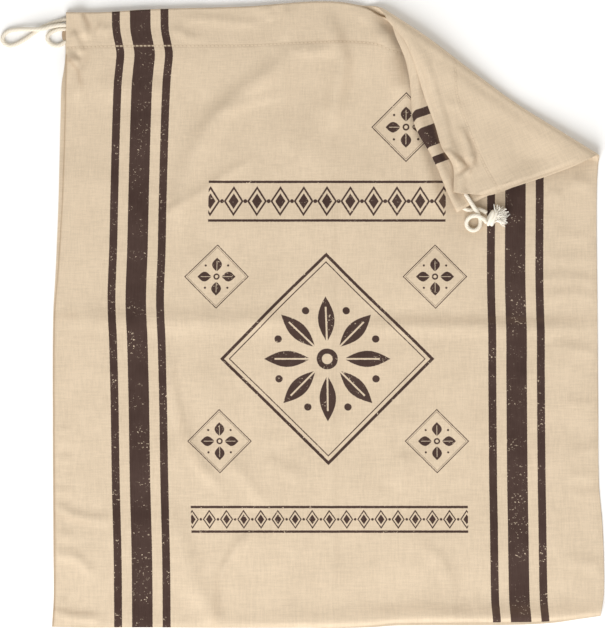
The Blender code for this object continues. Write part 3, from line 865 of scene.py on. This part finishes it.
# painted shade in the creases of the flap's tip and along its sewn edge
flapShades = ridges(
    (1.3, 330, 448, 151, 456, 156, 468, 167, 461, 172, 454, 178),
    (1.2, 220, 462, 126, 470, 142, 475, 154, 477, 170),
    (1.2, 200, 474, 158, 472, 166, 468, 176),
    (1.5, 110, 462, 196, 490, 196, 540, 178, 590, 156, 606, 146),
)
bottomRidge = millimetres((-200, 0.3), (-80, 0.8), (0, 2.4), (110, 2.5), (200, 1.7))
edgeRoll = {"crest": 0.0035, "fall": 0.0098}  # the seam allowance inside the bottom edge
seamLip = {  # along the flap's side seam
    "from": 0.12,  # only right of this
    "rise": 0.0014, "crest": 0.0020, "fall": 0.0016, "height": 0.0013,
    "swell": 0.0009, "swellRise": 0.002, "swellLag": 0.3, "reach": 0.0110,
}
casingRoll = {  # how the rolled mouth edges of the flap stand up
    "rise": 0.0038, "level": 0.0052, "fall": 0.0056,
    "front": 0.0016, "frontFrom": 0.050, "frontGrow": 0.025,
    "back": 0.0022,
}
# painted shade in the gap of the front's sewn left edge, below the casing
seamShades = {"strength": 0.55, "start": 0.0004, "fade": 0.0012, "top": 0.19}
# painted shade on the bit of the back's casing that shows by the small loop, which lies in shadow
casingShades = {"strength": 0.60, "edge": -0.1905, "fade": 0.0015, "low": 0.1985, "high": 0.2095}
# painted shadow under the back's mouth edge on the flap, its numbers as a ridge has them
gapShades = {"halfWidth": 1.9, "strength": 620, "start": 0.004, "points": 60}
leftStripePath = millimetres(  # height above the middle, how far right of straight it lies
    (-223, 2), (-179, 1.7), (-120.5, 0.3), (-62, -0.6), (-18, -1.7), (11, -2.8), (48, -1.6),
    (84, -0.8), (135, 0.5), (168, 1.8), (179, 2.8), (189.8, 3.8), (196, 3), (208, 0.8),
    (220.5, 0.5),
)
rightStripePath = millimetres(
    (-223, 3.5), (-208, 2.2), (-150, 1.2), (-120.5, 0.7), (-40, 0.1), (-18, 0.1), (25.5, -0.9),
    (84, -0.7), (220, -0.9),
)
alongFold = np.array([cos(fold["angle"]), sin(fold["angle"])])
acrossFold = np.array([-sin(fold["angle"]), cos(fold["angle"])])
frontLevel = bag["backLevel"] + bag["layer"]
casingLift = 2 * bag["layer"]
ripples = {"seed": 5, "count": 16, "shortest": 0.016, "longest": 0.060, "slope": 0.0075}


def ridge(x, y, route, halfWidth, height):
    # A soft fold whose first and last quarters fade, with its width and height in thousandths
    nearest, share, passed = np.full(x.shape, 1.0), np.zeros(x.shape), 0.0
    route = np.array(route)
    lengths = np.linalg.norm(np.diff(route, axis=0), axis=1)
    for start, end, length in zip(route, route[1:], lengths):
        run = end - start
        gone = np.clip(((x - start[0]) * run[0] + (y - start[1]) * run[1]) / length**2, 0, 1)
        distance = np.hypot(x - start[0] - run[0] * gone, y - start[1] - run[1] * gone)
        closer = distance < nearest
        nearest = np.where(closer, distance, nearest)
        share = np.where(closer, (passed + gone * length) / lengths.sum(), share)
        passed += length
    profile = np.exp(-((nearest / (halfWidth / 1000)) ** 2))
    return height / 1000 * ease(4 * share) * ease(4 - 4 * share) * profile


def rippled(x, y):  # faint waves all over the cloth
    chance = np.random.default_rng(ripples["seed"])
    total = 0.0
    for _ in range(ripples["count"]):
        wave = chance.uniform(ripples["shortest"], ripples["longest"])
        heading, phase = chance.uniform(0, pi), chance.uniform(0, 2 * pi)
        turn = 2 * pi / wave
        gone = x * cos(heading) + y * sin(heading)
        total = total + ripples["slope"] / turn * np.sin(turn * gone + phase)
    return total


def edgeProfile(distance):  # up from the edge to the roll's crest and down again inside
    crest, fall = edgeRoll["crest"], edgeRoll["fall"]
    inside = np.exp(-((np.maximum(distance - crest, 0) / fall) ** 2))
    return ease(distance / crest) * inside


def lipProfile(distance):  # the narrow lip, and the swell inside it
    past = distance - seamLip["crest"]
    lip = ease(distance / seamLip["rise"]) * (1 - ease(past / seamLip["fall"]))
    swell = 1 - ease(distance / seamLip["reach"] - seamLip["swellLag"])
    swell = ease(past / seamLip["swellRise"]) * swell
    return seamLip["height"] * lip + seamLip["swell"] * swell


def foldPlace(x, y):  # length along the fold line and distance past it
    x, y = x - fold["start"][0], y - fold["start"][1]
    return x * alongFold[0] + y * alongFold[1], x * acrossFold[0] + y * acrossFold[1]


def foldPoint(along, past=0.0):  # the reverse of foldPlace
    return (fold["start"][0] + alongFold[0] * along + acrossFold[0] * past,
            fold["start"][1] + alongFold[1] * along + acrossFold[1] * past)


def casingShare(x, y):  # 1 on the casing, down to 0 below it
    depth = through(frontSides["mouth"], x) - y
    return 1 - ease((depth - bag["casing"] - clothDepth) / bag["casingRise"])


def seamDistance(x, y):
    return np.minimum(x - through(frontSides["left"], y), through(frontSides["right"], y) - x)


def frontHeight(x, y):  # middle of the front panel where the bag lies flat
    past = foldPlace(x, y)[1]
    fromBottom = y - through(frontSides["bottom"], x)
    edge = np.minimum(seamDistance(x, y), fromBottom)
    swell = bag["crown"] * ease(edge / bag["crownReach"])
    swell = swell * ease((-past - fold["reach"]) / fold["reach"])
    folds = bag["foldScale"] * sum(ridge(x, y, *crease) for crease in softFolds) + rippled(x, y)
    folds = folds * ease(-past / bag["foldFade"])
    folds = folds * ease(edge / bag["edgeFade"] + bag["edgeStart"]) * (past < 0)
    roll = through(bottomRidge, x) * edgeProfile(fromBottom)
    return frontLevel + casingLift * casingShare(x, y) + swell + folds + roll


def foldOver(x, y, z, depth, lineLevel, lift, onTop):
    # Carries points of the flat bag round the fold. depth is how far they lie under the front
    along, past = foldPlace(x, y)
    axis = bag["backLevel"] + through(foldRadii, along)
    bend = pi * (axis - lineLevel)
    angle = pi * np.clip(past / bend, 0, 1)
    reach = np.where(past < bend, (axis - z) * np.sin(angle), bend - past)
    landX, landY = foldPoint(along, reach)
    rest = frontHeight(landX, landY) + clothDepth + fold["gap"] + depth
    rest = rest + fold["air"] * ease(-reach / fold["reach"])
    loose = fold["loose"] if onTop else 0.0
    if onTop:
        rest = rest + loose + sum(ridge(landX, landY, *crease) for crease in flapFolds)
    hemLift = z + depth - frontLevel - casingLift * casingShare(*foldPoint(along)) + loose
    full = 2 * axis - z + hemLift * ease(-reach / fold["hemSettle"])
    height = mix(full, rest, ease(-reach / fold["relax"]))
    height = height + lift * ease(-reach / fold["liftReach"])
    height = np.where(past < bend, axis - (axis - z) * np.cos(angle), height)
    over = past > 0
    return np.where(over, landX, x), np.where(over, landY, y), np.where(over, height, z)


def stops(start, *spans):  # from start in even steps, through spans of (end, length of a step)
    places = [[start]]
    for end, step in spans:
        places.append(np.linspace(start, end, int((end - start) / step) + 1)[1:])
        start = end
    return np.concatenate(places)


def columnStops(spec):  # 0 to 1, finer at the edges, the casing's left end and the folded corner
    edge, width = spec["edgeSteps"], spec["width"]
    spans = ((spec["fineLeft"], spec["fineCell"]), (width - spec["fineReach"], spec["cell"]),
             (width - edge[-1], spec["fineCell"]))
    rightEdge = [width - step for step in edge[-2::-1]]
    return np.concatenate([edge[:-1], stops(edge[-1], *spans), rightEdge]) / width


def panelRows(spec):
    # Rows of (up, past the mouth, how far under the outer layer, length of cloth from the mouth)
    half = spec["layer"] / 2
    bottom, height = spec["edgeSteps"], spec["height"]
    fineFrom = height - spec["fineReach"]
    body = stops(bottom[-1], (fineFrom, spec["cell"]), (height, spec["fineCell"]))
    rows = [(up / height, 0.0, 0.0, 0.0) for up in (*bottom[:-1], *body)]
    for step in range(1, spec["hemSteps"]):
        angle = pi * step / spec["hemSteps"]
        rows.append((1.0, half * sin(angle), half * (1 - cos(angle)), half * angle))
    hemRows = int(spec["casing"] / spec["cell"] * spec["hemFiner"]) + 1
    for gone in np.linspace(0, spec["casing"], hemRows):
        rows.append((1 - gone / spec["height"], 0.0, spec["layer"], half * pi + gone))
    return np.array(rows)


def readVectors(data, name):
    values = np.empty(len(data) * 3, np.float32)
    data.foreach_get(name, values)
    return values.reshape(-1, 3).astype(float).T


def cutSheet(name, sides, spec):  # the flat sheet with its mouth hem, and facts on its points
    columns = columnStops(spec)
    up, past, under, turned = panelRows(spec).T[:, :, None] + 0 * columns[None, None, :]
    height = mix(-spec["height"] / 2, spec["height"] / 2, up)
    x = mix(through(sides["left"], height), through(sides["right"], height), columns[None, :])
    mouth = through(sides["mouth"], x)
    y = mix(through(sides["bottom"], x), mouth, up) + past - spec["layer"] / 2 * (up == 1.0)
    mesh = bpy.data.meshes.new(name)
    place = np.arange(x.size).reshape(x.shape)
    quads = np.stack([place[:-1, :-1], place[:-1, 1:], place[1:, 1:], place[1:, :-1]], -1)
    points = np.column_stack([x.ravel(), y.ravel(), 0 * x.ravel()])
    mesh.from_pydata(points.tolist(), [], quads.reshape(-1, 4).tolist())
    fromMouth = np.where(turned > 0, -turned, mouth - y)  # below 0 on the hem
    writeVectors(mesh, "sheetFacts", under, fromMouth, mouth)
    cut = bmesh.new()
    cut.from_mesh(mesh)
    for row in range(fold["rows"] + 1):
        spot = np.array(fold["start"]) + acrossFold * fold["depth"] * row / fold["rows"]
        bmesh.ops.bisect_plane(cut, geom=cut.verts[:] + cut.edges[:] + cut.faces[:],
                               dist=fold["weld"], plane_co=(*spot, 0), plane_no=(*acrossFold, 0))
    cut.to_mesh(mesh)
    cut.free()
    return mesh


def laidOut(x, y, under, fromMouth, isFront, spec):  # where the sheet's points lie in the bag
    crossed = casingShare(*foldPoint(foldPlace(x, y)[0]))
    front = frontHeight(x, y)
    edge = seamDistance(x, y)
    distance = np.abs(fromMouth)
    roll = ease(distance / casingRoll["rise"])
    roll = roll * (1 - ease((distance - casingRoll["level"]) / casingRoll["fall"]))
    if isFront:
        drop = spec["seamDrop"] * (1 - ease(edge / spec["seamReach"])) * (1 - casingShare(x, y))
        z = front - under - drop
        lineLevel = frontLevel + casingLift * crossed - under * crossed
        lift = casingRoll["front"] * roll * under / spec["layer"]
        lift = lift * ease((x - casingRoll["frontFrom"]) / casingRoll["frontGrow"])
    else:
        z = spec["backLevel"] + under
        lineLevel = spec["backLevel"] + under * crossed
        lift = casingRoll["back"] * roll * (1 - under / spec["layer"])
    lift = lift + lipProfile(edge) * (x > seamLip["from"])
    return foldOver(x, y, z, front - z, lineLevel, lift, not isFront)


def frontShade(x, y, landX, landY):  # painted shade in the sewn edge, the creases and the gap on the flap
    over = foldPlace(x, y)[1] > 0
    past = seamDistance(x, y) - seamShades["start"]
    sewn = seamShades["strength"] * (1 - ease(past / seamShades["fade"]))
    values = sewn * (x < 0) * (y < seamShades["top"])
    values = values + (~over) * sum(ridge(x, y, *crease) for crease in creaseShades)
    start = fold["start"][0] + gapShades["start"]
    edgeX = np.linspace(start, bag["width"] / 2, gapShades["points"])
    edgeY, level = through(backSides["mouth"], edgeX), bag["backLevel"] + 0 * edgeX
    gapX, gapY, _ = foldOver(edgeX, edgeY, level, level, level, 0, True)
    gap = (list(zip(gapX, gapY)), gapShades["halfWidth"], gapShades["strength"])
    return values + over * ridge(landX, landY, *gap)


def backShade(x, y, landX, landY):  # painted shade on the casing's bit by the small loop, and in the creases
    spec = casingShades
    values = spec["strength"] * ease((spec["edge"] - x) / spec["fade"])
    values = values * (y > spec["low"]) * (y < spec["high"])
    creases = sum(ridge(landX, landY, *crease) for crease in flapShades)
    return values + (foldPlace(x, y)[1] > 0) * creases


def makePanel(name, sides, isFront, spec, materials):
    mesh = cutSheet(name, sides, spec)
    x, y, _ = readVectors(mesh.vertices, "co")
    facts = mesh.attributes["sheetFacts"]
    under, fromMouth, mouth = readVectors(facts.data, "vector")
    mesh.attributes.remove(facts)
    landed = laidOut(x, y, under, fromMouth, isFront, spec)
    mesh.vertices.foreach_set("co", np.column_stack(landed).astype(np.float32).ravel())

    reach = spec["stripeReach"]
    left, right = through(leftStripePath, y), through(rightStripePath, y)
    printed = x - mix(left, right, ease((x + reach) / (2 * reach)))
    toStitch = np.where(under > 0, 1.0, through(stitchLine, x) - y)  # far off on the hem
    writeVectors(mesh, "flatCloth", printed, mouth - fromMouth, toStitch)
    # painted shade, which the cloth's material mixes in
    shade = mesh.attributes.new("paintedShade", "FLOAT", "POINT")
    values = (frontShade if isFront else backShade)(x, y, *landed[:2])
    shade.data.foreach_set("value", values.astype(np.float32))
    mesh.update()
    item = newObject(name, mesh, *materials)
    bpy.ops.object.select_all(action="DESELECT")
    item.select_set(True)
    bpy.context.view_layer.objects.active = item
    thick = item.modifiers.new("thickness", "SOLIDIFY")
    thick.thickness = spec["cloth"]
    thick.offset = 0.0
    thick.material_offset = len(materials) - 1
    bpy.ops.object.modifier_apply(modifier=thick.name)
    bpy.ops.object.shade_smooth_by_angle(angle=spec["smoothAngle"])
    triangles = sum(len(face.vertices) - 2 for face in item.data.polygons)
    print(f"{name}: {triangles} triangles")
    return item


frontCloth = makePanel("frontCloth", frontSides, True, bag, (printedCotton, plainCotton))
backCloth = makePanel("backCloth", backSides, False, bag, (plainCotton,))
for piece, node in ((frontCloth, "front_panel"), (backCloth, "back_panel")):
    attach(piece, "root")
    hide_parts(node)

bpy.ops.object.select_all(action="DESELECT")
